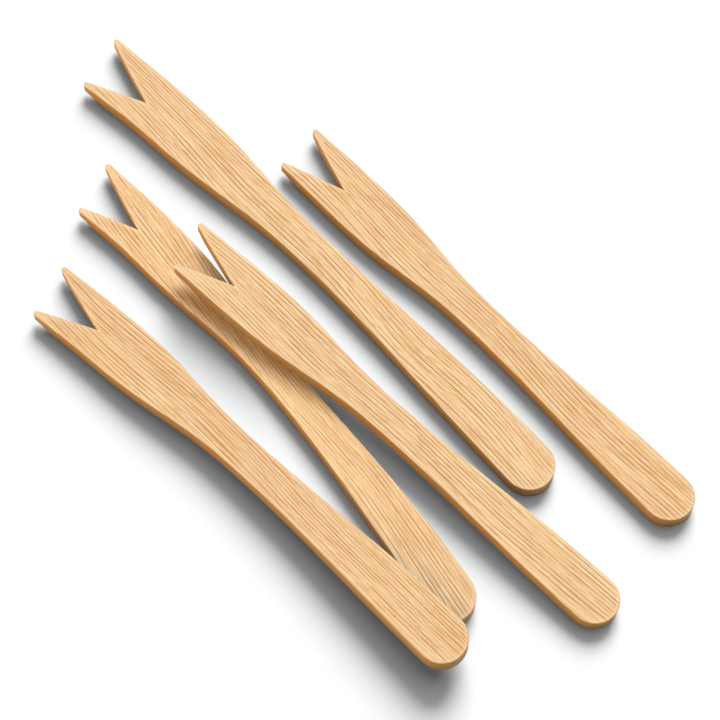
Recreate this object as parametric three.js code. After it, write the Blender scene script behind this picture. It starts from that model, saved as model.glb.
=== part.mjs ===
// A pack of two-prong wooden chip forks, lying loosely across each other on a flat surface.
// Millimetres, +Z up. The origin is on that surface, under the middle of the pack.
import * as THREE from "three";

// One standard fork. Lengths run along its axis, and widths are whole widths across it.
const FORK_LENGTH = 85;
const THICKNESS = 2.4;
const HANDLE_WIDTH = 7.3;
const WAIST_WIDTH = 5;
const HEAD_WIDTH = 8.55;
const TIP_SPREAD = 8; // over the outside of both tips
const WAIST_FROM_TIPS = 41.4;
const HEAD_FROM_TIPS = 14.9;
const NOTCH_DEPTH = 11.1;
const NOTCH_ROUNDING = 0.9; // how far up each flank the root's rounding reaches
const TIP_RADIUS = 0.4;
const EDGE_RADIUS = 0.3; // tumbling rounds every edge of the two faces

// How the sides leave a widest or narrowest place, as a share of the stretch they span.
const SWELL_TENSION = 0.4;
const PRONG_TENSION = 0.45;

// The pack. The forks lie roughly in rows along one direction, and rest on each other where they cross.
const ROW_DIRECTION = THREE.MathUtils.degToRad(137.5);
const REST_CLEARANCE = 0.3; // between a fork and the one that it rests on

// Steps of each curve, in the solid and where two outlines are compared.
const SIDE_STEPS = 9;
const END_STEPS = 18;
const TIP_STEPS = 6;
const NOTCH_STEPS = 4;
const BEVEL_STEPS = 2;
const CROSSING_REFINEMENT = 12;

// Each fork as it was cut, and where it lies.
// long, wide and deep are its length, width and notch against the standard fork.
// bow is how far its middle bends to its right, and aside is how far to the left of its axis the notch is cut.
// Its left prong is shorter than the right one by shortProng and leans further out by splay.
// along is the place of its handle's end in the row direction, row is that end's place across it in
// handle widths, and turn is its own direction against the rows, in degrees.
const FORKS = [
  { name: "under_fork", colour: 0xe8b985,
    long: 1.014, wide: 0.96, bow: 2.4, deep: 1.02, aside: 0.5, shortProng: 3.6, splay: 0.85,
    along: -6.1, row: -2.33, turn: -5.1 },
  { name: "long_fork", colour: 0xebbf8a,
    long: 1.116, wide: 1.03, bow: 1.25, deep: 0.92, aside: 0.65, shortProng: 2.7, splay: 0.95,
    along: 0, row: 0.67, turn: -0.4 },
  { name: "short_fork", colour: 0xe9ba83,
    long: 0.936, wide: 1, bow: 0.1, deep: 1, aside: 0.1, shortProng: 1.1, splay: 0.1,
    along: -16.4, row: 2.16, turn: -0.7 },
  { name: "crossing_fork", colour: 0xedc08a, restsOn: "under_fork", stands: "handle",
    long: 0.951, wide: 0.97, bow: 0.3, deep: 0.98, aside: 0.25, shortProng: 2.2, splay: 0.15,
    along: -19.5, row: -0.33, turn: 3.7 },
  { name: "front_fork", colour: 0xebbe88, restsOn: "under_fork", stands: "tips",
    long: 0.953, wide: 1, bow: 0.85, deep: 1.025, aside: 0.25, shortProng: 2.4, splay: 0.5,
    along: -10.3, row: -3.05, turn: 2.2 },
];

const lengthOf = (fork) => FORK_LENGTH * fork.long;
const directionOf = (fork) => ROW_DIRECTION + THREE.MathUtils.degToRad(fork.turn);

// The points of a curve without its last one, which the next curve starts on.
function stretch(curve, steps) {
  return curve.getPoints(steps).slice(0, -1);
}

// A side that leaves one place and reaches the next parallel to the axis.
function swell(from, to, tension) {
  const reach = new THREE.Vector2((to.x - from.x) * tension, 0);
  return new THREE.CubicBezierCurve(from, from.clone().add(reach), to.clone().sub(reach), to);
}

// The outline on one side of the axis, from the handle's end to the bottom of the notch.
// side is 1 on the left and -1 on the right, and x is 0 at the handle's end.
function halfOutline(fork, side, refinement) {
  const length = lengthOf(fork);
  const halfWidth = (width) => (side * width * fork.wide) / 2;
  const prongEnd = length - (side > 0 ? fork.shortProng : 0);
  const prongReach = halfWidth(TIP_SPREAD) + (side > 0 ? fork.splay : 0);

  const endRadius = (HANDLE_WIDTH * fork.wide) / 2;
  const handle = new THREE.Vector2(endRadius, halfWidth(HANDLE_WIDTH));
  const waist = new THREE.Vector2(length - WAIST_FROM_TIPS * fork.long, halfWidth(WAIST_WIDTH));
  const head = new THREE.Vector2(length - HEAD_FROM_TIPS * fork.long, halfWidth(HEAD_WIDTH));
  const tip = new THREE.Vector2(prongEnd - TIP_RADIUS, prongReach - side * TIP_RADIUS);
  const prong = new THREE.Vector2(tip.x, prongReach);
  const notch = new THREE.Vector2(length - NOTCH_DEPTH * fork.long * fork.deep, fork.aside);

  // The prong's inner flank runs from the notch to where it touches the tip's round.
  const toTip = tip.clone().sub(notch);
  const flank = toTip.angle() - side * Math.asin(TIP_RADIUS / toTip.length());
  const outward = (side * Math.PI) / 2;
  const rootTop = new THREE.Vector2(NOTCH_ROUNDING, 0).rotateAround(new THREE.Vector2(), flank).add(notch);
  const rootMiddle = new THREE.Vector2(notch.x - NOTCH_ROUNDING / 4, notch.y);

  const round = new THREE.EllipseCurve(endRadius, 0, endRadius, endRadius, Math.PI, outward, side > 0);
  const tipRound = new THREE.EllipseCurve(tip.x, tip.y, TIP_RADIUS, TIP_RADIUS, outward, flank - outward, side > 0);
  const prongSide = new THREE.CubicBezierCurve(
    head,
    head.clone().add(new THREE.Vector2((prong.x - head.x) * PRONG_TENSION, 0)),
    prong.clone().lerp(head, PRONG_TENSION),
    prong,
  );
  const root = new THREE.QuadraticBezierCurve(rootTop, notch, rootMiddle);

  return [
    ...stretch(round, (END_STEPS / 2) * refinement),
    ...stretch(swell(handle, waist, SWELL_TENSION), SIDE_STEPS * refinement),
    ...stretch(swell(waist, head, PRONG_TENSION), SIDE_STEPS * refinement),
    ...stretch(prongSide, SIDE_STEPS * refinement),
    ...tipRound.getPoints(TIP_STEPS),
    ...root.getPoints(NOTCH_STEPS),
  ];
}

// The whole outline, counterclockwise from the handle's end, bent by the fork's bow.
function outlineOf(fork, refinement = 1) {
  const right = halfOutline(fork, -1, refinement);
  const left = halfOutline(fork, 1, refinement);
  // Both halves hold the handle's end and the notch's bottom, so the left one gives them up.
  const points = [...right, ...left.slice(1, -1).reverse()];
  const bend = (x) => fork.bow * 4 * (x / lengthOf(fork)) * (1 - x / lengthOf(fork));
  return points.map((point) => new THREE.Vector2(point.x, point.y - bend(point.x)));
}

// Where the handle's end lies on the surface.
function placeOf(fork) {
  const place = new THREE.Vector2(fork.along, -fork.row * HANDLE_WIDTH);
  return place.rotateAround(new THREE.Vector2(), ROW_DIRECTION);
}

// The fork's outline where it lies, seen from above.
function footprint(fork) {
  const origin = new THREE.Vector2();
  const place = placeOf(fork);
  const points = outlineOf(fork, CROSSING_REFINEMENT);
  return points.map((point) => point.rotateAround(origin, directionOf(fork)).add(place));
}

// Whether a point is inside an outline, by the number of edges between it and the far right.
function isInside(point, outline) {
  let inside = false;
  outline.forEach((a, i) => {
    const b = outline[(i + 1) % outline.length];
    if (a.y > point.y === b.y > point.y) return;
    if (point.x < a.x + ((b.x - a.x) * (point.y - a.y)) / (b.y - a.y)) inside = !inside;
  });
  return inside;
}

// The points that bound the patch where two outlines lie over each other.
function sharedPatch(first, second) {
  return [
    ...first.filter((point) => isInside(point, second)),
    ...second.filter((point) => isInside(point, first)),
  ];
}

// How steeply a fork leans, from the end that stands on the surface up to the fork that it rests on.
function leanOf(fork) {
  if (!fork.restsOn) return 0;
  const support = FORKS.find((other) => other.name === fork.restsOn);
  const patch = sharedPatch(footprint(fork), footprint(support));
  if (!patch.length) return 0;
  const forward = new THREE.Vector2(1, 0).rotateAround(new THREE.Vector2(), directionOf(fork));
  const fromHandle = patch.map((point) => point.sub(placeOf(fork)).dot(forward));
  const length = lengthOf(fork);
  const fromFoot = fork.stands === "tips" ? length - Math.max(...fromHandle) : Math.min(...fromHandle);
  return Math.asin((THICKNESS + REST_CLEARANCE) / fromFoot);
}

// A flat strip of the fork's outline with rounded edges, lying on z = 0.
function forkGeometry(fork) {
  const geometry = new THREE.ExtrudeGeometry(new THREE.Shape(outlineOf(fork)), {
    depth: THICKNESS - 2 * EDGE_RADIUS,
    steps: 1,
    bevelEnabled: true,
    bevelThickness: EDGE_RADIUS,
    bevelSize: EDGE_RADIUS,
    bevelOffset: -EDGE_RADIUS,
    bevelSegments: BEVEL_STEPS,
  });
  return geometry.translate(0, 0, EDGE_RADIUS);
}

// One fork, turned and leaned about the end that it stands on.
function makeFork(fork) {
  const material = new THREE.MeshStandardMaterial({ color: fork.colour, roughness: 0.62, metalness: 0 });
  const mesh = new THREE.Mesh(forkGeometry(fork), material);
  mesh.name = fork.name;

  const foot = new THREE.Group();
  const footX = fork.stands === "tips" ? lengthOf(fork) : 0;
  foot.position.x = footX;
  mesh.position.x = -footX;
  foot.rotation.y = (fork.stands === "tips" ? 1 : -1) * leanOf(fork);
  foot.add(mesh);

  const lying = new THREE.Group();
  const place = placeOf(fork);
  lying.position.set(place.x, place.y, 0);
  lying.rotation.z = directionOf(fork);
  lying.add(foot);
  return lying;
}

// The pack, moved so that the origin is under the middle of its box.
function makePack() {
  const forks = new THREE.Group();
  FORKS.forEach((fork) => forks.add(makeFork(fork)));
  const middle = new THREE.Box3().setFromObject(forks, true).getCenter(new THREE.Vector3());
  forks.position.set(-middle.x, -middle.y, 0);
  const pack = new THREE.Group();
  pack.add(forks);
  return pack;
}

export default makePack();
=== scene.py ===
"""A pack of two-prong wooden chip forks lying across each other on a white table.

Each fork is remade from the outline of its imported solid, with tumbled edges and grain that runs along it.
"""
import math

import bpy
import numpy as np
from bpy.props import FloatProperty, FloatVectorProperty, IntProperty, PointerProperty
from mathutils import Matrix, Vector, geometry, kdtree, noise


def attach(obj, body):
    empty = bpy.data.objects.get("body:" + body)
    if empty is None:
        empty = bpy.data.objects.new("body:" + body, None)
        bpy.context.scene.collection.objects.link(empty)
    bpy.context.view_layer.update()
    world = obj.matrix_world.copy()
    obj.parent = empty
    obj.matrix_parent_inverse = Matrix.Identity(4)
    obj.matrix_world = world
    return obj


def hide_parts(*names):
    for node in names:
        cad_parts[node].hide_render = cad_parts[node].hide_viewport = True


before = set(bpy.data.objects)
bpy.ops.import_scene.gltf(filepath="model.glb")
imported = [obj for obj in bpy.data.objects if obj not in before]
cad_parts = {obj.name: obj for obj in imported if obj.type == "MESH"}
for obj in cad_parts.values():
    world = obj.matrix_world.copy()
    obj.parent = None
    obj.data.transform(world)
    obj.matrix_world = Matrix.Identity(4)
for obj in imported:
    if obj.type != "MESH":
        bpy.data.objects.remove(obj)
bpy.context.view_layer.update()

bl_info = {
    "name": "Wooden Chip Forks",
    "version": (1, 0, 0),
    "blender": (4, 5, 0),
    "location": "3D View > Sidebar > Chip Forks",
    "description": "Makes a pack of tumbled wooden chip forks around their packed solids",
    "category": "Object",
}

MM = 0.001
ON_WOOD = "lit_wood"  # what the lamps for the wood reach
ON_TABLE = "lit_table"  # what the lamps for the table reach
GRAIN = "grain"  # each vertex's place along, across and through its own fork, in millimetres
INWARD = "inward"  # each vertex's distance from the rounded edge of its face, in millimetres
TABLE_HALF = 2.0  # half the side of the table top, in metres

# The forks. veneer is each one's own place in the endless veneer, and slant is the grain's angle to the fork
# in degrees. tone is its brightness against the others, and coolness is how much less yellow it is.
FORKS = {
    "under_fork": {"veneer": 13.0, "slant": 3.5, "tone": 1.03, "coolness": 0.0},
    "long_fork": {"veneer": 151.0, "slant": 2.2, "tone": 1.0, "coolness": 0.02},
    "short_fork": {"veneer": 307.0, "slant": 1.2, "tone": 0.975, "coolness": 0.0},
    "crossing_fork": {"veneer": 463.0, "slant": 1.5, "tone": 1.01, "coolness": 0.035},
    "front_fork": {"veneer": 619.0, "slant": 3.0, "tone": 0.95, "coolness": 0.0},
}
TIPS_TOWARDS = Vector((-1.0, 1.0, 0.0))  # every fork's tips are on this side of the pack

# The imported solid. Its faces and its side are told apart by the upward part of a polygon's normal.
UPPER_FACE = 0.9  # and more, even where a fork leans
SIDE_WALL = 0.05  # and less, in the fork's own axes
CORNER_DIGITS = 3  # decimals of a millimetre, to which two corners are the same

# The edges and the side.
BORDER_INSET = 1.25  # from the outline to the border of the flat face, in edge radii
TIP_EDGE = 0.9  # the edge radius at the tips, against the mean one
WEAR_REACH = 0.5  # from a tip to where the edge's wear is whole, in tip reaches
WEAR_WAVES = 0.35  # waves of the edge's wear to a millimetre
RIPPLE_WAVES = 3.0  # ripples of the side to one wave of the wear
RIPPLE_SHEET = Vector((0.0, 0.0, 9.0))  # keeps the ripples apart from the wear

# The two faces.
FACE_WAVES = (0.07, 0.3)  # low waves to a millimetre, along and across the fork
FACE_SHEET = 3.0  # keeps the low waves apart from the edge's wear
LEVEL_BORDER = 2.0 * MM  # from the border to where the low waves have their full depth
ACROSS_SPACING = 0.6  # of the vertices across the fork, against that along it
BORDER_GAP = 0.7  # from the border to the nearest vertex inside it, against the spacing across
SAME_PLACE = 1e-9  # metres within which the triangulation takes two vertices for one

# The wandering of the grain, in millimetres. Each kind of fibre or swing has its length along the fork, its
# width across it, and its sheet, which is a layer of the noise for it alone.
THROUGH_SLANT = 0.4  # how far the grain goes sideways for each millimetre through the fork
LONG_SWING = (34.0, 14.0, 1.0)
LONG_SWING_SIZE = 3.6  # how far it takes the grain sideways
SHORT_SWING = (11.0, 4.0, 2.0)
SHORT_SWING_SIZE = 0.3
CROSSING_SWING = (18.0, 6.0, 3.0)  # takes the fine lines up to a millimetre away from the main ones
CROSSING_SLANT = 0.03  # how far the fine lines go sideways from the main ones for each millimetre along
SHEET_STRIDE = 3.7  # between the places in the noise of one sheet and the next
NOISE_ROUGHNESS = 0.55

# The grain lines. A ring is the strip from one line to the next, and a share is a place in it, from 0 to 1.
LINE_LENGTH = 9.0  # about how far a main line runs from break to break, in millimetres
LINE_SHEET = 4.0
FINE_LENGTH = 5.0  # the same for a fine line
FINE_SHEET = 5.0
FINE_SPACING = 0.62  # of the fine lines, against the main ones
SPREAD_LENGTH = 60.0  # of the stretches in which the rings are wider or narrower, in millimetres
SPREAD_WIDTH = 3.4  # of those stretches, in rings
SPREAD_SIZE = 0.9  # how far they shift the lines, in rings
DARK_LINE = ((0.68, 0.8), (0.88, 1.0))  # the shares over which a dark line begins, and over which it ends
PALE_STREAK = ((0.0, 0.08), (0.2, 0.34))
DARK_PLACE = (1.73, 0.5)  # in the noise that breaks the lines: the stride from ring to ring, and the layer
PALE_PLACE = (2.19, 5.5)
DARK_BREAKS = (0.34, 0.58)  # values of that noise, from a break to a whole line
PALE_BREAKS = (0.42, 0.56)
FAINT_LINE = 0.15  # what is left of a dark line in its breaks

# Single fibres, dashes and the soft figure. A step is where the noise of each begins to show, and where it
# shows in full.
FIBRE = (1.8, 0.13, 8.0)
FIBRE_STEP = (0.52, 0.65)
DASH = (2.0, 0.13, 7.0)
DASH_STEP = (0.66, 0.76)
FIGURE = (40.0, 2.6, 6.0)
FIGURE_STEP = (0.35, 0.65)
FLECK_SIZE = (0.3, 0.14)  # of the flecks, in millimetres along and across the fork

# How strongly each part of the grain shows, from 0 to 1. The main dark lines show in full.
FINE_LINES = 0.55
DASHES = 0.4
STREAKS = 0.85  # the pale ones beside the main lines
FINE_STREAKS = 0.5
SINGLE_FIBRES = 0.55
FIGURE_SHADE = 0.14
FLECK_TONE = (0.98, 0.05)  # the tone without a fleck, and what a whole fleck adds

# The faces' rubbed edges with a painted highlight, and the cut side. Heights and widths are in millimetres.
RUBBED_AND_HIGHLIT_WIDTH = 0.6
RUBBED_LINES = 0.55  # how much of the dark lines is rubbed off
# Partly the paleness of rubbed wood and partly a painted highlight along the rounded edge.
RUBBED_PALENESS_AND_HIGHLIGHT = 0.22  # how pale the wood is left
SIDE_FOOT = (0.02, 0.2)  # height above the lower face, over which the side begins
SIDE_HEAD = (0.14, 0.03)  # depth below the upper face, over which it ends
SIDE_LINES = 0.75  # how much of the grain doesn't show on the side
# Painted shade, darkest at the foot of the side, near what the fork lies on.
SIDE_SHADE = 0.3  # how much darker the foot of the side is than its head

# The surface. A bump is a share of the grain's depth, and a roughness is added to that of the wood.
PALE_BUMP = 0.3
DARK_BUMP = -0.6
FLECK_BUMP = 0.25
BUMP_STRENGTH = 0.2
DARK_ROUGHNESS = 0.12
PALE_ROUGHNESS = -0.08
GLOSS = 0.35


class ForkShape(bpy.types.PropertyGroup):
    """Sizes of the tumbled edges and of the mesh."""

    edge_radius: FloatProperty(
        name="Edge radius", description="Mean radius that tumbling leaves on the edges of both faces",
        default=0.14 * MM, min=0.05 * MM, max=0.4 * MM, unit="LENGTH", precision=5)
    edge_wear: FloatProperty(
        name="Edge wear", description="How much the edge radius varies along the fork",
        default=0.15, min=0.0, max=0.4, subtype="FACTOR")
    edge_steps: IntProperty(
        name="Edge steps", description="Steps round each edge", default=5, min=2, max=8)
    wall_steps: IntProperty(
        name="Wall steps", description="Steps up the cut side between its two edges",
        default=3, min=1, max=6)
    wall_ripple: FloatProperty(
        name="Wall ripple", description="How far the cut side wanders in and out",
        default=0.015 * MM, min=0.0, max=0.05 * MM, unit="LENGTH", precision=6)
    outline_step: FloatProperty(
        name="Outline step", description="Longest step along the outline",
        default=0.4 * MM, min=0.1 * MM, max=2.0 * MM, unit="LENGTH", precision=5)
    face_step: FloatProperty(
        name="Face step", description="Spacing of the vertices inside the two faces",
        default=0.9 * MM, min=0.3 * MM, max=3.0 * MM, unit="LENGTH", precision=5)
    tip_thinning: FloatProperty(
        name="Tip thinning", description="How much of the underside is gone at the tips",
        default=1.0 * MM, min=0.0, max=2.0 * MM, unit="LENGTH", precision=5)
    tip_reach: FloatProperty(
        name="Tip reach", description="How far back from a tip its underside is thinned",
        default=4.5 * MM, min=0.5 * MM, max=15.0 * MM, unit="LENGTH", precision=5)
    flank_thinning: FloatProperty(
        name="Flank thinning", description="How much of the underside is gone along the notch",
        default=0.45 * MM, min=0.0, max=2.0 * MM, unit="LENGTH", precision=5)
    flank_reach: FloatProperty(
        name="Flank reach", description="How far in from the notch the underside is thinned",
        default=1.3 * MM, min=0.2 * MM, max=4.0 * MM, unit="LENGTH", precision=5)
    face_relief: FloatProperty(
        name="Face relief", description="Depth of the low waves that drying leaves in the faces",
        default=0.02 * MM, min=0.0, max=0.08 * MM, unit="LENGTH", precision=6)


class WoodFinish(bpy.types.PropertyGroup):
    """Colours and surface of the unvarnished wood."""

    wood: FloatVectorProperty(
        name="Wood", description="Early wood between the grain lines",
        default=(0.787, 0.556, 0.276), min=0.0, max=1.0, subtype="COLOR")
    grain_line: FloatVectorProperty(
        name="Grain line", description="Late wood in the fine grain lines",
        default=(0.42, 0.145, 0.024), min=0.0, max=1.0, subtype="COLOR")
    light_streak: FloatVectorProperty(
        name="Light streak", description="Pale fibres beside the grain lines",
        default=(0.94, 0.74, 0.5), min=0.0, max=1.0, subtype="COLOR")
    # The side's tint is partly wood that the cutting die presses and darkens, and partly painted warm shade
    # for light the wood throws on its side.
    cut_side_and_shade: FloatVectorProperty(
        name="Cut side and shade", description="Tint of the side, which the cutting die presses and darkens",
        default=(0.92, 0.7, 0.41), min=0.0, max=1.0, subtype="COLOR")
    line_spacing: FloatProperty(
        name="Line spacing", description="Mean distance from one grain line to the next",
        default=0.54 * MM, min=0.2 * MM, max=3.0 * MM, unit="LENGTH", precision=5)
    roughness: FloatProperty(
        name="Roughness", description="Roughness of the flat grain",
        default=0.6, min=0.0, max=1.0, subtype="FACTOR")
    grain_depth: FloatProperty(
        name="Grain depth", description="Depth of the grain lines",
        default=0.02 * MM, min=0.0, max=0.2 * MM, unit="LENGTH", precision=6)


class StageSetup(bpy.types.PropertyGroup):
    """The white table, the soft lights and the camera."""

    table_colour: FloatVectorProperty(
        name="Table", description="Colour of the table top, in the light that it throws on the forks",
        default=(0.65, 0.65, 0.65), min=0.0, max=1.0, subtype="COLOR")
    table_seen: FloatVectorProperty(
        name="Table as seen", description="Colour of the table top for the camera",
        default=(1.0, 1.0, 1.0), min=0.0, max=1.0, subtype="COLOR")
    sky: FloatVectorProperty(
        name="Sky", description="Even light from all round",
        default=(0.09, 0.09, 0.092), min=0.0, max=2.0, subtype="COLOR")
    key_strength: FloatProperty(
        name="Key strength", description="Strength of the soft light behind the pack, on the table",
        default=3.47, min=0.0)
    key_angle: FloatProperty(
        name="Key size", description="Size of the soft light as seen from the table",
        default=math.radians(36), subtype="ANGLE")
    key_azimuth: FloatProperty(
        name="Key azimuth", description="Direction of the soft light, from behind the pack to its right",
        default=math.radians(8), subtype="ANGLE")
    key_elevation: FloatProperty(
        name="Key elevation", description="Height of the soft light as an angle, for the table's shadows",
        default=math.radians(38), subtype="ANGLE")
    wood_key_strength: FloatProperty(
        name="Wood key strength", description="Strength of the soft light behind the pack, on the wood",
        default=1.91, min=0.0)
    wood_key_elevation: FloatProperty(
        name="Wood key elevation", description="Height of the soft light, for the wood's shadows",
        default=math.radians(56), subtype="ANGLE")
    top_strength: FloatProperty(
        name="Top strength", description="Strength of the wide light above the pack",
        default=0.87, min=0.0)
    top_angle: FloatProperty(
        name="Top size", description="Size of the light above as seen from the table",
        default=math.radians(66), subtype="ANGLE")
    top_azimuth: FloatProperty(
        name="Top azimuth", description="Direction of the light above, from behind the pack to its right",
        default=math.radians(20), subtype="ANGLE")
    top_elevation: FloatProperty(
        name="Top elevation", description="Height of the light above as an angle",
        default=math.radians(62), subtype="ANGLE")
    fill_strength: FloatProperty(
        name="Fill strength", description="Strength of the warm low light on the wood",
        default=1.8, min=0.0)
    fill_colour: FloatVectorProperty(
        name="Fill colour", description="Colour of the light that pale wood throws on itself",
        default=(1.0, 0.64, 0.3), min=0.0, max=1.0, subtype="COLOR")
    fill_angle: FloatProperty(
        name="Fill size", description="Size of the low light as seen from the table",
        default=math.radians(60), subtype="ANGLE")
    fill_azimuth: FloatProperty(
        name="Fill azimuth", description="Direction of the low light, from behind the pack round its right",
        default=math.radians(260), subtype="ANGLE")
    fill_elevation: FloatProperty(
        name="Fill elevation", description="Height of the low light as an angle",
        default=math.radians(30), subtype="ANGLE")
    view_elevation: FloatProperty(
        name="Camera elevation", description="Camera's angle above the table",
        default=math.radians(64), subtype="ANGLE")
    view_roll: FloatProperty(
        name="Camera roll", description="How far the camera is turned about its own line of sight",
        default=math.radians(4), subtype="ANGLE")
    view_distance: FloatProperty(
        name="Camera distance", description="Camera's distance from the point that it looks at",
        default=342.6 * MM, min=0.01, unit="LENGTH")
    view_lens: FloatProperty(
        name="Lens", description="Focal length", default=120.75, min=1.0, unit="CAMERA")
    view_target: FloatVectorProperty(
        name="Target", description="Point on the table that the camera looks at",
        default=(-0.409 * MM, -1.581 * MM, 0.0), subtype="XYZ", unit="LENGTH")


def own_axes(node):
    """A fork's own axes as a matrix, with the middle of its corners as their origin.

    X points to the tips, Y to the left of that, and Z out of the upper face.
    """
    mesh = node.data
    upper = Vector((0.0, 0.0, 0.0))
    for polygon in mesh.polygons:
        if polygon.normal.z > UPPER_FACE:
            upper += polygon.normal * polygon.area
    upper.normalize()
    points = np.array([vertex.co for vertex in mesh.vertices])
    middle = points.mean(axis=0)
    longest = Vector(np.linalg.svd(points - middle, full_matrices=False)[2][0])
    if longest.dot(TIPS_TOWARDS) < 0:
        longest = -longest
    left = upper.cross(longest).normalized()
    ahead = left.cross(upper)
    axes = Matrix((ahead, left, upper)).transposed().to_4x4()
    axes.translation = Vector(middle)
    return axes


def cut_outline(node, axes):
    """The fork's outline along the top of its side wall, in order, and the heights of its two faces."""
    to_own = axes.inverted()
    turn_to_own = axes.to_3x3().inverted()
    own = [to_own @ vertex.co for vertex in node.data.vertices]
    low = min(point.z for point in own)
    high = max(point.z for point in own)
    keys = [tuple(round(place / MM, CORNER_DIGITS) for place in point) for point in own]
    neighbours = {}
    for polygon in node.data.polygons:
        if abs((turn_to_own @ polygon.normal).z) > SIDE_WALL:
            continue
        top = [i for i in polygon.vertices if own[i].z > (low + high) / 2]
        for a, b in zip(top, top[1:]):
            neighbours.setdefault(keys[a], set()).add(keys[b])
            neighbours.setdefault(keys[b], set()).add(keys[a])
    start = min(neighbours)
    loop = [start]
    before, here = None, start
    while True:
        onward = [key for key in sorted(neighbours[here]) if key != before]
        before, here = here, onward[0]
        if here == start:
            break
        loop.append(here)
        if len(loop) > len(neighbours):
            raise RuntimeError("the outline of " + node.name + " doesn't close")
    points = np.array([(x * MM, y * MM) for x, y, _ in loop])
    return counterclockwise(points), low, high


def counterclockwise(points):
    """The same loop of points, in counterclockwise order."""
    after = np.roll(points, -1, axis=0)
    area = np.sum(points[:, 0] * after[:, 1] - after[:, 0] * points[:, 1])
    return points if area > 0 else points[::-1].copy()


def smooth_loop(points, step):
    """The loop through the same points on one smooth curve, with a point at least every step."""
    made = []
    count = len(points)
    for i in range(count):
        p = [points[(i + k) % count] for k in (-1, 0, 1, 2)]
        knots = [0.0]
        for a, b in zip(p, p[1:]):
            knots.append(knots[-1] + math.sqrt(np.linalg.norm(b - a)))
        steps = max(1, math.ceil(np.linalg.norm(p[2] - p[1]) / step))
        for k in range(steps):
            t = knots[1] + (knots[2] - knots[1]) * k / steps
            made.append(curve_point(p, knots, t))
    return np.array(made)


def curve_point(p, knots, t):
    """A point of the centripetal curve between the second and third of four points."""
    level = list(p)
    for width in (1, 2):
        level = [
            mixed(level[i], level[i + 1], knots[i], knots[i + width], t)
            for i in range(len(level) - 1)
        ]
    return mixed(level[0], level[1], knots[1], knots[2], t)


def mixed(a, b, from_knot, to_knot, t):
    """The point at t on the line that is at a at from_knot and at b at to_knot."""
    share = (t - from_knot) / (to_knot - from_knot)
    return a + (b - a) * share


def outward_normals(loop):
    """The unit normals of a counterclockwise loop."""
    along = np.roll(loop, -1, axis=0) - np.roll(loop, 1, axis=0)
    along /= np.linalg.norm(along, axis=1)[:, None]
    return np.column_stack((along[:, 1], -along[:, 0]))


def is_inside(point, loop):
    """Whether a point is inside a loop."""
    after = np.roll(loop, -1, axis=0)
    spans = (loop[:, 1] > point[1]) != (after[:, 1] > point[1])
    rise = np.where(spans, after[:, 1] - loop[:, 1], 1.0)
    cross = loop[:, 0] + (after[:, 0] - loop[:, 0]) * (point[1] - loop[:, 1]) / rise
    return np.count_nonzero(spans & (point[0] < cross)) % 2 == 1


def fade(share):
    """1 at 0, 0 at 1 and beyond, and smooth between them."""
    share = min(max(share, 0.0), 1.0)
    return 1.0 - share * share * (3.0 - 2.0 * share)


class Thinning:
    """The underside of the prongs, which rises to their tips and to the notch."""

    def __init__(self, shape, loop):
        self.shape = shape
        left = max((i for i in range(len(loop)) if loop[i][1] > 0), key=lambda i: loop[i][0])
        right = max((i for i in range(len(loop)) if loop[i][1] <= 0), key=lambda i: loop[i][0])
        self.tips = [loop[left], loop[right]]
        span = [(right + i) % len(loop) for i in range((left - right) % len(loop) + 1)]
        self.notch = kdtree.KDTree(len(span))
        for place, i in enumerate(span):
            self.notch.insert((loop[i][0], loop[i][1], 0.0), place)
        self.notch.balance()

    def to_tip(self, x, y):
        """The distance from a place to the nearer tip, in tip reaches."""
        return min(math.hypot(x - tip[0], y - tip[1]) for tip in self.tips) / self.shape.tip_reach

    def rise(self, x, y):
        """How far the underside has risen at a place."""
        shape = self.shape
        to_notch = self.notch.find((x, y, 0.0))[2]
        tip = shape.tip_thinning * fade(self.to_tip(x, y))
        flank = shape.flank_thinning * fade(to_notch / shape.flank_reach)
        return max(tip, flank)


def edge_profile(shape, low, high):
    """The rows of a fork's side, from the border of its lower face up to that of its upper one.

    Each row has how far it is inwards of the outline in edge radii, how far it is above its height in edge
    radii, that height, and its share of the wall's ripple.
    """
    quarter = [math.pi / 2 * i / shape.edge_steps for i in range(shape.edge_steps + 1)]
    wall = [low + (high - low) * i / (shape.wall_steps + 1) for i in range(1, shape.wall_steps + 1)]
    return [
        (BORDER_INSET, 0.0, low, 0.0),
        *((1 - math.sin(turn), 1 - math.cos(turn), low, 0.0) for turn in quarter),
        *((0.0, 0.0, height, 1.0) for height in wall),
        *((1 - math.sin(turn), math.cos(turn) - 1, high, 0.0) for turn in reversed(quarter)),
        (BORDER_INSET, 0.0, high, 0.0),
    ]


def side_rows(shape, loop, thinning, low, high, veneer):
    """The side's vertices, row by row, in the fork's own axes. Its edges are tighter at the tips."""
    normals = outward_normals(loop)
    radii = []
    ripples = []
    for x, y in loop:
        place = Vector((x / MM * WEAR_WAVES + veneer, y / MM * WEAR_WAVES, 0.0))
        to_tip = thinning.to_tip(x, y)
        wear = shape.edge_wear * min(to_tip / WEAR_REACH, 1.0)
        radius = shape.edge_radius * (TIP_EDGE + (1 - TIP_EDGE) * min(to_tip, 1.0))
        radii.append(radius * (1 + wear * noise.noise(place)))
        ripples.append(noise.noise(place * RIPPLE_WAVES + RIPPLE_SHEET))
    radii = np.array(radii)[:, None]
    ripples = shape.wall_ripple * (1 + np.array(ripples)[:, None]) / 2
    rows = []
    for inwards, upwards, height, rippled in edge_profile(shape, low, high):
        flat = loop - normals * (radii * inwards + ripples * rippled)
        rows.append(np.hstack((flat, height + radii * upwards)))
    return rows


def side_faces(rows, count):
    """The side's polygons, between each row of vertices and the next one up."""
    faces = []
    for row in range(rows - 1):
        below = row * count
        above = below + count
        for i in range(count):
            j = (i + 1) % count
            faces.append((below + i, below + j, above + j, above + i))
    return faces


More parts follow.
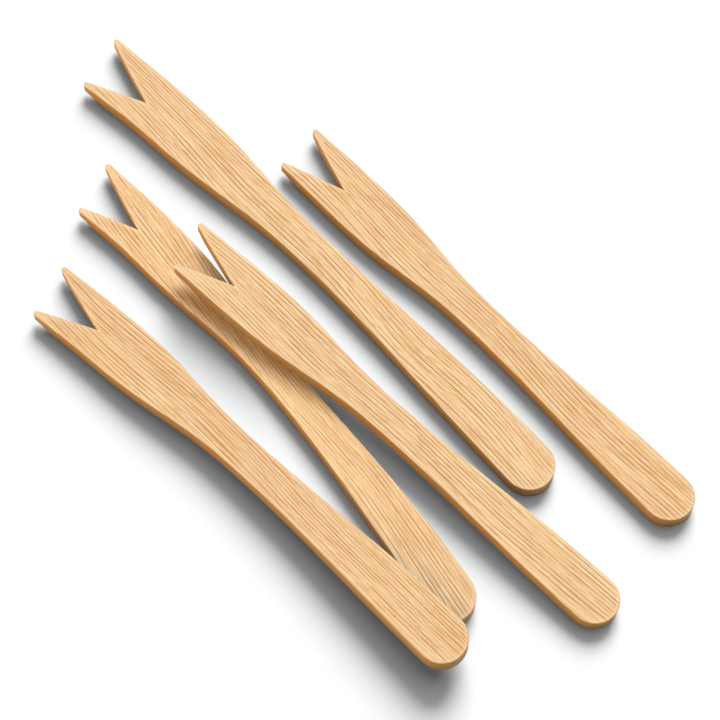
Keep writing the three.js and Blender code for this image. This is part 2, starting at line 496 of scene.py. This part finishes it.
def sink(shape, x, y, to_border, veneer):
    """How far the face has sunk at a place. It doesn't sink at its border."""
    wave = noise.noise(Vector((x / MM * FACE_WAVES[0] + veneer, y / MM * FACE_WAVES[1], FACE_SHEET)))
    return shape.face_relief * (1 + wave) / 2 * (1 - fade(to_border / LEVEL_BORDER))


def face_inside(shape, border):
    """The points inside a face's border row with their distances to it, and the face's triangles.

    The triangles count the border's own points first.
    """
    flat = [Vector((x, y)) for x, y in border[:, :2]]
    near = kdtree.KDTree(len(flat))
    for i, point in enumerate(flat):
        near.insert((point.x, point.y, 0.0), i)
    near.balance()
    low, high = border.min(axis=0), border.max(axis=0)
    inner = []
    distances = []
    across = shape.face_step * ACROSS_SPACING
    for column, x in enumerate(np.arange(low[0], high[0], shape.face_step)):
        for y in np.arange(low[1] + (column % 2) * across / 2, high[1], across):
            to_border = near.find((x, y, 0.0))[2]
            if to_border > across * BORDER_GAP and is_inside((x, y), border[:, :2]):
                inner.append(Vector((x, y)))
                distances.append(to_border)
    points, _, triangles, origins, _, _ = geometry.delaunay_2d_cdt(
        flat + inner, [], [list(range(len(flat)))], 1, SAME_PLACE)
    if len(points) != len(flat) + len(inner):
        raise RuntimeError("the face's mesh lost or gained points")
    old = [origin[0] for origin in origins]
    return inner, distances, [[old[i] for i in triangle] for triangle in triangles]


def fork_form(shape, outline, low, high, veneer):
    """One fork's vertices in its own axes, its polygons, and each vertex's place inwards on its face."""
    loop = smooth_loop(outline, shape.outline_step)
    thinning = Thinning(shape, loop)
    rows = side_rows(shape, loop, thinning, low, high, veneer)
    count = len(loop)
    rises = [thinning.rise(x, y) for x, y in loop]
    vertices = []
    for row in rows:
        for (x, y, z), rise in zip(row, rises):
            vertices.append((x, y, high - (high - z) * (1 - rise / (high - low))))
    faces = side_faces(len(rows), count)
    inward = [0.0] * len(vertices)
    for row, is_upper in ((0, False), (len(rows) - 1, True)):
        inner, distances, triangles = face_inside(shape, rows[row])
        first = len(vertices)
        inward += [to_border / MM for to_border in distances]
        for (x, y), to_border in zip(inner, distances):
            depth = sink(shape, x, y, to_border, veneer + row)
            vertices.append((x, y, high - depth if is_upper else low + depth + thinning.rise(x, y)))
        for triangle in triangles:
            corners = [row * count + i if i < count else first + i - count for i in triangle]
            faces.append(corners if is_upper else corners[::-1])
    return vertices, faces, inward


def fork_mesh(name, axes, low, vertices, faces, inward):
    """A fork's mesh where the fork lies, with what its wood needs to know of each vertex."""
    mesh = bpy.data.meshes.new(name)
    mesh.from_pydata([axes @ Vector(vertex) for vertex in vertices], [], faces)
    own = np.array(vertices) / MM
    own[:, 2] -= low / MM
    mesh.attributes.new(GRAIN, "FLOAT_VECTOR", "POINT").data.foreach_set("vector", own.ravel())
    mesh.attributes.new(INWARD, "FLOAT", "POINT").data.foreach_set("value", inward)
    mesh.polygons.foreach_set("use_smooth", [True] * len(mesh.polygons))
    mesh.validate()
    mesh.update()
    return mesh


def make_fork(name, shape, finish):
    """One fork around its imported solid, in its own stretch of wood."""
    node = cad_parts[name]
    axes = own_axes(node)
    outline, low, high = cut_outline(node, axes)
    form = fork_form(shape, outline, low, high, FORKS[name]["veneer"])
    mesh = fork_mesh(name + "_wood", axes, low, *form)
    mesh.materials.append(chip_wood(name, finish, (high - low) / MM))
    piece = bpy.data.objects.new(name + "_wood", mesh)
    bpy.context.scene.collection.objects.link(piece)
    bpy.data.collections[ON_WOOD].objects.link(piece)
    # Light that bounces off the wood would turn its shadows on the white table brown.
    piece.visible_diffuse = False
    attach(piece, "root")
    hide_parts(name)


class Value:
    """A number in a shader. Python's operators on it add Math nodes."""

    def __init__(self, shader, socket):
        self.shader = shader
        self.socket = socket

    def maths(self, operation, first, second):
        """A Math node on two values or numbers."""
        return self.shader.add("ShaderNodeMath", {"operation": operation}, {0: first, 1: second})

    def __add__(self, other):
        return self.maths("ADD", self, other)

    def __radd__(self, other):
        return self.maths("ADD", other, self)

    def __sub__(self, other):
        return self.maths("SUBTRACT", self, other)

    def __rsub__(self, other):
        return self.maths("SUBTRACT", other, self)

    def __mul__(self, other):
        return self.maths("MULTIPLY", self, other)

    def __rmul__(self, other):
        return self.maths("MULTIPLY", other, self)

    def __truediv__(self, other):
        return self.maths("DIVIDE", self, other)

    def __rtruediv__(self, other):
        return self.maths("DIVIDE", other, self)

    def larger(self, other):
        """The larger of this and another."""
        return self.maths("MAXIMUM", self, other)

    def floor(self):
        """The whole number below it."""
        return self.shader.add("ShaderNodeMath", {"operation": "FLOOR"}, {0: self})


class Shader:
    """A node material or a sky under construction."""

    def __init__(self, block):
        block.use_nodes = True
        self.block = block
        self.tree = block.node_tree
        self.tree.nodes.clear()

    def add(self, kind, settings=None, inputs=None, output=0):
        """Adds a node of that kind: settings first, then the values or links of its sockets."""
        node = self.tree.nodes.new(kind)
        for key, value in (settings or {}).items():
            setattr(node, key, value)
        for key, value in (inputs or {}).items():
            if isinstance(value, Value):
                self.tree.links.new(value.socket, node.inputs[key])
            else:
                node.inputs[key].default_value = value
        return Value(self, node.outputs[output]) if len(node.outputs) else None

    def outputs(self, value):
        """Every output of the node that a value comes from."""
        return [Value(self, socket) for socket in value.socket.node.outputs]

    def seen(self):
        """1 for what the camera sees, straight, mirrored or through something clear, and 0 for the rest."""
        path = self.outputs(self.add("ShaderNodeLightPath"))
        named = {value.socket.name: value for value in path}
        mirrored_or_clear = named["Is Glossy Ray"].larger(named["Is Transmission Ray"])
        return named["Is Camera Ray"].larger(mirrored_or_clear)

    def smooth_step(self, value, low, high):
        """0 below low, 1 above high, and smooth between them."""
        return self.add(
            "ShaderNodeMapRange", {"interpolation_type": "SMOOTHSTEP"},
            {"Value": value, "From Min": low, "From Max": high})

    def band(self, value, rise, fall):
        """0 below the rise and above the fall, 1 between them, and smooth over each."""
        return self.smooth_step(value, *rise) * (1.0 - self.smooth_step(value, *fall))

    def mix(self, factor, first, second, blend="MIX"):
        """A colour mixed from two others."""
        return self.add(
            "ShaderNodeMix", {"data_type": "RGBA", "blend_type": blend},
            {0: factor, 6: first, 7: second}, output=2)


def opaque(colour):
    """A colour with its alpha."""
    return (*colour, 1.0)


class Grain:
    """A fork's grain in its shader, from each point's place in the fork and noise drawn out along it."""

    def __init__(self, shader, veneer):
        self.shader = shader
        self.veneer = veneer
        place = shader.add("ShaderNodeAttribute", {"attribute_name": GRAIN}, output="Vector")
        apart = shader.add("ShaderNodeSeparateXYZ", {}, {0: place})
        self.along, self.across, self.through = shader.outputs(apart)

    def noise_at(self, x, y, z, detail):
        """Noise at a place in it."""
        where = self.shader.add("ShaderNodeCombineXYZ", {}, {0: x, 1: y, 2: z})
        return self.shader.add(
            "ShaderNodeTexNoise", {"noise_dimensions": "3D"},
            {"Vector": where, "Scale": 1.0, "Detail": detail, "Roughness": NOISE_ROUGHNESS})

    def fibres(self, kind, sideways, detail=0.0):
        """Noise in fibres, whose kind is their length, their width and their sheet."""
        length, width, sheet = kind
        lengthways = self.along / length + (self.veneer + sheet)
        crossways = sideways / width + sheet * SHEET_STRIDE
        return self.noise_at(lengthways, crossways, self.through / width, detail)

    def flecks(self):
        """Fine flecks all over the fork."""
        length, width = FLECK_SIZE
        return self.noise_at(self.along / length, self.across / width, self.through / width, detail=2.0)

    def rings(self, sideways, gap, length, sheet):
        """The dark lines a mean gap apart and the pale streaks between them, each broken into lengths."""
        shader = self.shader
        spread = self.fibres((SPREAD_LENGTH, gap * SPREAD_WIDTH, sheet), sideways)
        count = sideways / gap + spread * SPREAD_SIZE
        ring = count.floor()
        share = count - ring
        dark_lengths = self.ring_noise(ring, length, sheet, sheet, DARK_PLACE)
        pale_lengths = self.ring_noise(ring, length, -sheet, sheet, PALE_PLACE)
        whole = FAINT_LINE + shader.smooth_step(dark_lengths, *DARK_BREAKS) * (1 - FAINT_LINE)
        dark = shader.band(share, *DARK_LINE) * whole
        pale = shader.band(share, *PALE_STREAK) * shader.smooth_step(pale_lengths, *PALE_BREAKS)
        return dark, pale

    def ring_noise(self, ring, length, shift, sheet, place):
        """Noise along each ring by itself. shift is along the fork, and place is the stride and the layer."""
        stride, layer = place
        lengthways = self.along / length + (self.veneer + shift)
        return self.noise_at(lengthways, ring * stride, sheet + layer, detail=1.0)

    def pattern(self, spacing, slant):
        """The dark lines, the pale fibres and the soft figure, each from 0 to 1."""
        shader = self.shader
        # The grain is slanted, and wanders across the fork in long swings and short ones.
        level = self.across + self.through * THROUGH_SLANT
        drifting = (
            level
            + self.along * math.tan(math.radians(slant))
            + self.fibres(LONG_SWING, level) * LONG_SWING_SIZE
            + self.fibres(SHORT_SWING, level) * SHORT_SWING_SIZE
        )
        crossing = drifting - self.along * CROSSING_SLANT + self.fibres(CROSSING_SWING, level)
        lines, streaks = self.rings(drifting, spacing, LINE_LENGTH, LINE_SHEET)
        fine_lines, fine_streaks = self.rings(crossing, spacing * FINE_SPACING, FINE_LENGTH, FINE_SHEET)
        dashes = shader.smooth_step(self.fibres(DASH, crossing), *DASH_STEP)
        single = shader.smooth_step(self.fibres(FIBRE, crossing, detail=1.0), *FIBRE_STEP)
        dark = lines.larger(fine_lines * FINE_LINES).larger(dashes * DASHES)
        pale = (streaks * STREAKS).larger(fine_streaks * FINE_STREAKS).larger(single * SINGLE_FIBRES)
        figure = shader.smooth_step(self.fibres(FIGURE, drifting, detail=1.0), *FIGURE_STEP)
        return dark, pale, figure


def wood_colour(shader, finish, dark, pale, figure, side):
    """The wood with its figure, fibres and lines, and on the cut side a tint that is partly the pressed wood
    and partly painted warm shade.
    """
    colour = shader.mix(figure * FIGURE_SHADE, opaque(finish.wood), opaque(finish.grain_line))
    colour = shader.mix(pale, colour, opaque(finish.light_streak))
    colour = shader.mix(dark, colour, opaque(finish.grain_line))
    # Painted warm shade, with the darker pressed wood, on the cut side.
    pressed_and_shaded = shader.mix(1.0, colour, opaque(finish.cut_side_and_shade), "MULTIPLY")
    return shader.mix(side, colour, pressed_and_shaded)


def in_tone(shader, colour, tone, coolness):
    """The colour at a brightness, and less yellow by the coolness."""
    tint = shader.add("ShaderNodeCombineColor", {}, {
        0: tone, 1: tone * (1.0 + coolness), 2: tone * (1.0 + 2 * coolness)})
    return shader.mix(1.0, colour, tint, "MULTIPLY")


def chip_wood(name, finish, thickness):
    """Pale veneer wood: fine broken grain lines with pale fibres beside them, along the fork."""
    fork = FORKS[name]
    shader = Shader(bpy.data.materials.new(name + "_grain"))
    grain = Grain(shader, fork["veneer"])
    dark, pale, figure = grain.pattern(finish.line_spacing / MM, fork["slant"])
    fleck = grain.flecks()

    # Tumbling rubs the lines off along the face's edges, and they are pale: partly rubbed, partly painted
    # highlight.
    inward = shader.add("ShaderNodeAttribute", {"attribute_name": INWARD}, output="Fac")
    rubbed_and_highlit = 1.0 - shader.smooth_step(inward, 0.0, RUBBED_AND_HIGHLIT_WIDTH)

    # The side is cut, not planed, and hardly a line shows on it. Painted shade darkens it towards its foot.
    side = shader.band(grain.through, SIDE_FOOT, [thickness - depth for depth in SIDE_HEAD])
    face = 1.0 - side * SIDE_LINES
    shade = 1.0 - side * SIDE_SHADE * (1.0 - grain.through / thickness)

    dark = dark * face * (1.0 - rubbed_and_highlit * RUBBED_LINES)
    pale = pale.larger(rubbed_and_highlit * RUBBED_PALENESS_AND_HIGHLIGHT) * face
    plain, flecked = FLECK_TONE
    # The tone carries the painted shade at the foot of the side.
    tone = (plain + fleck * flecked) * fork["tone"] * shade
    colour = wood_colour(shader, finish, dark, pale, figure, side)
    colour = in_tone(shader, colour, tone, fork["coolness"])

    height = pale * PALE_BUMP + dark * DARK_BUMP + fleck * FLECK_BUMP
    bump = shader.add("ShaderNodeBump", {}, {
        "Strength": BUMP_STRENGTH, "Distance": finish.grain_depth, "Height": height})
    roughness = finish.roughness + dark * DARK_ROUGHNESS + pale * PALE_ROUGHNESS
    surface = shader.add("ShaderNodeBsdfPrincipled", {}, {
        "Base Color": colour, "Roughness": roughness, "Normal": bump, "Specular IOR Level": GLOSS})
    shader.add("ShaderNodeOutputMaterial", {}, {"Surface": surface})
    return shader.block


def make_table(setup):
    """The white table top, which keeps the forks' shadows."""
    corners = [(x * TABLE_HALF, y * TABLE_HALF, 0.0) for x, y in ((-1, -1), (1, -1), (1, 1), (-1, 1))]
    mesh = bpy.data.meshes.new("table_top")
    mesh.from_pydata(corners, [], [(0, 1, 2, 3)])
    table = bpy.data.objects.new("table_top", mesh)
    bpy.context.scene.collection.objects.link(table)
    bpy.data.collections[ON_TABLE].objects.link(table)
    shader = Shader(bpy.data.materials.new("table_white"))
    lit = shader.add("ShaderNodeBsdfDiffuse", {}, {"Color": opaque(setup.table_colour)})
    seen = shader.add("ShaderNodeBsdfDiffuse", {}, {"Color": opaque(setup.table_seen)})
    surface = shader.add("ShaderNodeMixShader", {}, {0: shader.seen(), 1: lit, 2: seen})
    shader.add("ShaderNodeOutputMaterial", {}, {"Surface": surface})
    mesh.materials.append(shader.block)


def make_sky(setup):
    """Even light from all round, white where it is seen or reflected."""
    world = bpy.data.worlds.new("studio_sky")
    bpy.context.scene.world = world
    shader = Shader(world)
    light = shader.add("ShaderNodeBackground", {}, {"Color": opaque(setup.sky)})
    white = shader.add("ShaderNodeBackground", {}, {"Color": (1.0, 1.0, 1.0, 1.0)})
    surface = shader.add("ShaderNodeMixShader", {}, {0: shader.seen(), 1: light, 2: white})
    shader.add("ShaderNodeOutputWorld", {}, {"Surface": surface})


def make_lamp(name, reaches, strength, angle, azimuth, elevation):
    """A soft round light, far away. reaches is the collection that it lights."""
    lamp = bpy.data.lights.new(name, "SUN")
    lamp.angle = angle
    lamp.energy = strength
    # Diffuse rays pass through the forks, so they would find the lamp from inside the forks' shadows.
    lamp.cycles.use_multiple_importance_sampling = False
    item = bpy.data.objects.new(name, lamp)
    bpy.context.scene.collection.objects.link(item)
    level = math.cos(elevation)
    towards = Vector((math.sin(azimuth) * level, math.cos(azimuth) * level, math.sin(elevation)))
    item.rotation_euler = towards.to_track_quat("Z", "Y").to_euler()
    item.light_linking.receiver_collection = bpy.data.collections[reaches]
    return lamp


def make_lamps(setup):
    """The soft light behind the pack, the wide one above it, and a warm low one for the wood alone."""
    key = setup.key_angle, setup.key_azimuth
    top = setup.top_strength, setup.top_angle, setup.top_azimuth, setup.top_elevation
    fill = setup.fill_strength, setup.fill_angle, setup.fill_azimuth, setup.fill_elevation
    make_lamp("table_key", ON_TABLE, setup.key_strength, *key, setup.key_elevation)
    make_lamp("table_top", ON_TABLE, *top)
    # The forks' shadows on each other are shorter than those on the table.
    make_lamp("wood_key", ON_WOOD, setup.wood_key_strength, *key, setup.wood_key_elevation)
    make_lamp("wood_top", ON_WOOD, *top)
    # This stands for the light that the forks throw on each other, so the table doesn't get it.
    make_lamp("wood_fill", ON_WOOD, *fill).color = setup.fill_colour


def make_camera(setup):
    """The camera in front of the pack, looking down at it, turned a little about its line of sight."""
    lens = bpy.data.cameras.new("camera")
    lens.sensor_width = 36.0
    lens.lens = setup.view_lens
    lens.clip_start = 0.01
    lens.clip_end = 20.0
    camera = bpy.data.objects.new("camera", lens)
    bpy.context.scene.collection.objects.link(camera)
    back = Vector((0.0, -math.cos(setup.view_elevation), math.sin(setup.view_elevation)))
    level = Vector((1.0, 0.0, 0.0))
    upright = back.cross(level)
    turn = Matrix.Rotation(setup.view_roll, 3, back)
    facing = Matrix((turn @ level, turn @ upright, back)).transposed()
    placed = facing.to_4x4()
    placed.translation = Vector(setup.view_target) + back * setup.view_distance
    camera.matrix_world = placed
    bpy.context.scene.camera = camera


class CHIPFORKS_OT_make_forks(bpy.types.Operator):
    """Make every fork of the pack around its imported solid"""

    bl_idname = "chipforks.make_forks"
    bl_label = "Make Forks"

    def execute(self, context):
        for name in FORKS:
            make_fork(name, context.scene.chip_fork_shape, context.scene.chip_fork_wood)
        return {"FINISHED"}


class CHIPFORKS_OT_set_stage(bpy.types.Operator):
    """Set the white table, the soft lights and the camera"""

    bl_idname = "chipforks.set_stage"
    bl_label = "Set Stage"

    def execute(self, context):
        setup = context.scene.chip_fork_stage
        for reached in (ON_WOOD, ON_TABLE):
            bpy.data.collections.new(reached)
        make_table(setup)
        make_sky(setup)
        make_lamps(setup)
        make_camera(setup)
        context.scene.view_settings.view_transform = "Standard"
        return {"FINISHED"}


class CHIPFORKS_PT_panel(bpy.types.Panel):
    """Sizes, colours and steps of the chip fork pack"""

    bl_idname = "CHIPFORKS_PT_panel"
    bl_label = "Chip Forks"
    bl_space_type = "VIEW_3D"
    bl_region_type = "UI"
    bl_category = "Chip Forks"

    def draw(self, context):
        scene = context.scene
        for group in (scene.chip_fork_stage, scene.chip_fork_shape, scene.chip_fork_wood):
            box = self.layout.box()
            for key in group.bl_rna.properties.keys():
                if key not in ("rna_type", "name"):
                    box.prop(group, key)
        self.layout.operator(CHIPFORKS_OT_set_stage.bl_idname)
        self.layout.operator(CHIPFORKS_OT_make_forks.bl_idname)


CLASSES = (
    ForkShape,
    WoodFinish,
    StageSetup,
    CHIPFORKS_OT_make_forks,
    CHIPFORKS_OT_set_stage,
    CHIPFORKS_PT_panel,
)


def register():
    for item in CLASSES:
        bpy.utils.register_class(item)
    bpy.types.Scene.chip_fork_shape = PointerProperty(type=ForkShape)
    bpy.types.Scene.chip_fork_wood = PointerProperty(type=WoodFinish)
    bpy.types.Scene.chip_fork_stage = PointerProperty(type=StageSetup)


def unregister():
    del bpy.types.Scene.chip_fork_stage
    del bpy.types.Scene.chip_fork_wood
    del bpy.types.Scene.chip_fork_shape
    for item in reversed(CLASSES):
        bpy.utils.unregister_class(item)


def main():
    register()
    bpy.ops.chipforks.set_stage()
    bpy.ops.chipforks.make_forks()


if __name__ == "__main__":
    main()
